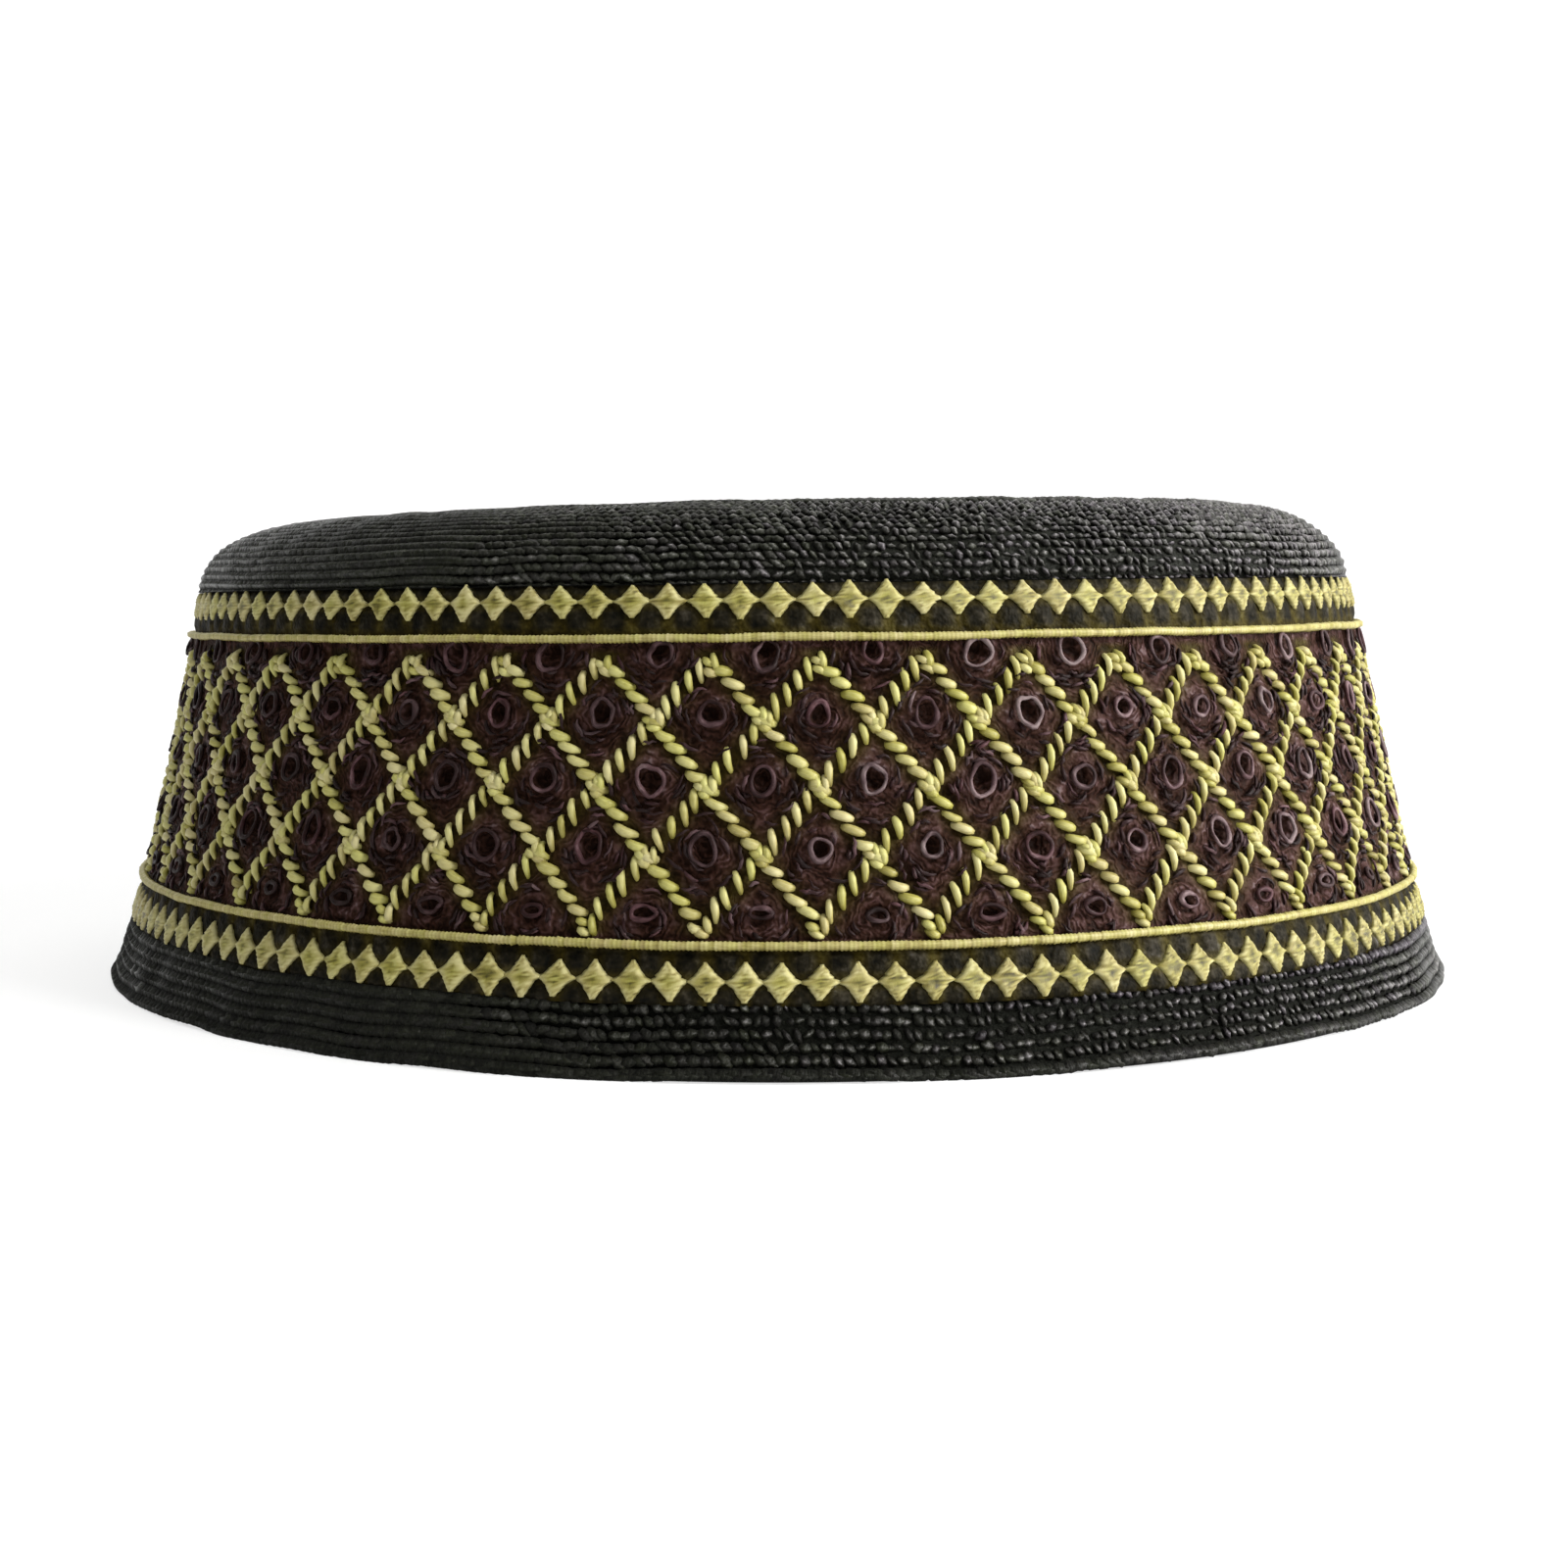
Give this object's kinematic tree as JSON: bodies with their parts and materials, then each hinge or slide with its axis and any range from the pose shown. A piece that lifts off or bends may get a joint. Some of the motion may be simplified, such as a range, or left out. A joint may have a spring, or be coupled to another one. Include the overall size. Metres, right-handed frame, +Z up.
{
  "type": "prayer cap",
  "caption": "Low round brimless prayer cap with a flat stitched crown, a flared side wall embroidered with a gold rope diamond lattice, and a ribbed black hem.",
  "frame": {"origin": "centre of the rim's underside, on the surface that the cap rests on", "axes": "+Z up through the crown, -Y the pictured front, +X the side where the crown stands a little higher"},
  "size_m": [0.1892, 0.1892, 0.0643],
  "materials": {
    "black_cotton": "black cotton stitched in close rows, matt with a faint sheen on the crests",
    "maroon_ground": "dark maroon embroidered ground with raised thread rings",
    "gold_thread": "pale yellow-green gold rayon thread, satin sheen"
  },
  "bodies": {
    "root": {"crown": "black_cotton", "side_band": "maroon_ground", "hem_band": "black_cotton", "upper_cord": "gold_thread", "lower_cord": "gold_thread", "upper_diamond_trim": "gold_thread", "lower_diamond_trim": "gold_thread", "gold_lattice": "gold_thread"}
  },
  "joints": []
}
